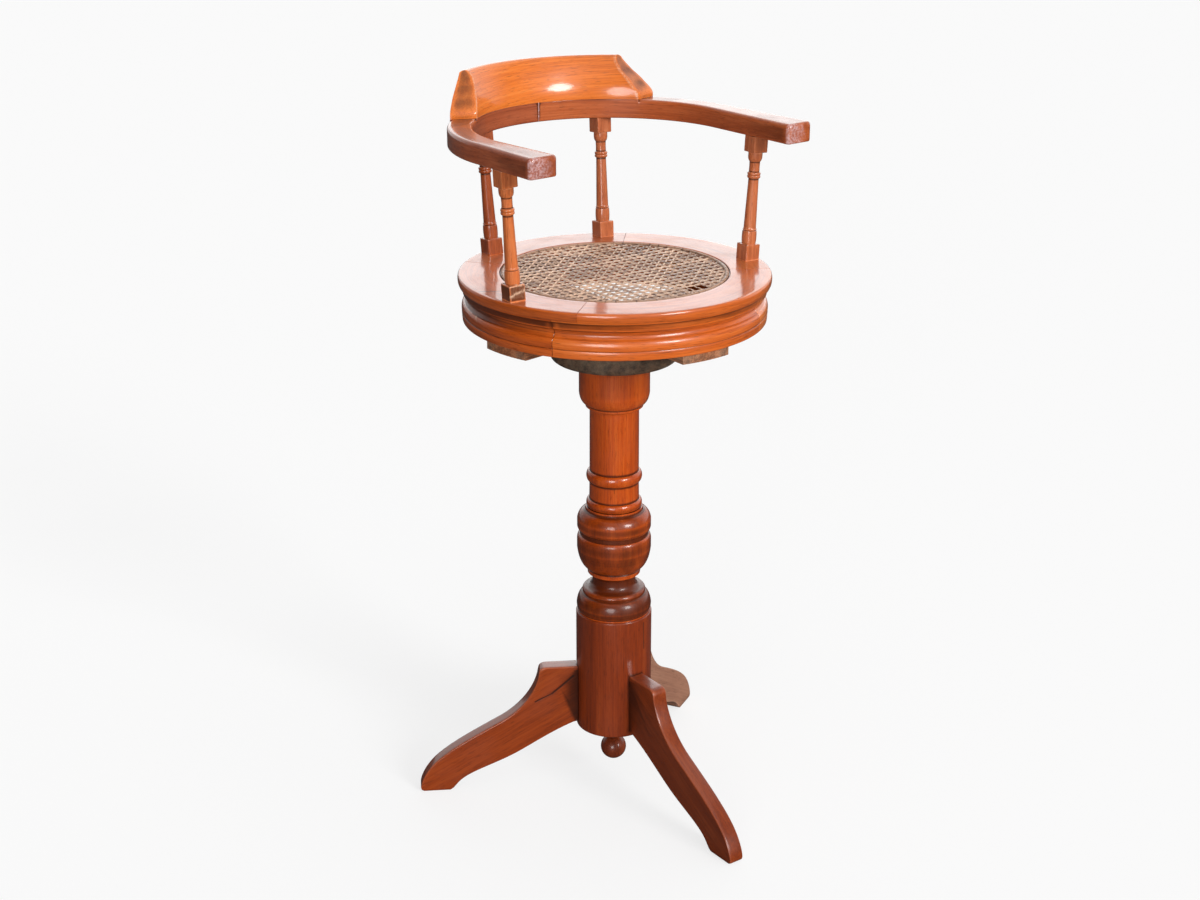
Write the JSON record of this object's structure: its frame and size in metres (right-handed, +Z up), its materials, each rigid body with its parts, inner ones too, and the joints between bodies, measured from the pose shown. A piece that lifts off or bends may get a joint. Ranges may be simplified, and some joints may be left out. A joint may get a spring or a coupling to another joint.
{
  "type": "barber stool",
  "caption": "High revolving wooden barber stool: sabre-legged tripod base, turned column, round cane seat, and low horseshoe arms with a raised back rail.",
  "frame": {"origin": "on the floor, on the axis of the column", "axes": "+Z up along the column, -Y the way the sitter faces, +X to the right of someone who looks at the stool from the front"},
  "size_m": [0.4884, 0.4952, 0.9987],
  "materials": {
    "leg_wood": "french polish, worn",
    "dark_wood": "french polish, dark",
    "column_wood": "french polish",
    "seat_wood": "french polish, glossy",
    "arm_wood": "french polish, glossy",
    "rough_wood": "rough sawn, unfinished",
    "cane": "natural cane, aged",
    "iron": "dark iron",
    "brass": "dull brass"
  },
  "bodies": {
    "base": {"leg_front": "leg_wood", "leg_left": "leg_wood", "leg_right": "leg_wood", "leg_drum": "dark_wood", "drop_finial": "dark_wood", "column": "column_wood", "pivot_bush": "brass", "thrust_washer": "brass"},
    "seat": {"pivot_spindle": "iron", "flange_screws": "iron", "swivel_block": "rough_wood", "block_screws": "iron", "cross_board_long": "rough_wood", "cross_board_short": "rough_wood", "board_screws": "iron", "apron_front": "seat_wood", "apron_right": "seat_wood", "apron_back": "seat_wood", "apron_left": "seat_wood", "seat_front": "seat_wood", "seat_right": "seat_wood", "seat_back": "seat_wood", "seat_left": "seat_wood", "cane_panel": "cane", "cane_binder": "cane", "spindle_front_left": "arm_wood", "spindle_front_right": "arm_wood", "spindle_back_left": "arm_wood", "spindle_back_right": "arm_wood", "arm_left": "arm_wood", "arm_right": "arm_wood", "crest_rail": "arm_wood", "crest_screws": "iron"}
  },
  "joints": [
    {"name": "seat_swivel", "type": "hinge", "parent": "base", "child": "seat", "pos_m": [0, 0, 0.6], "axis": [0, 0, 1], "continuous": true}
  ]
}
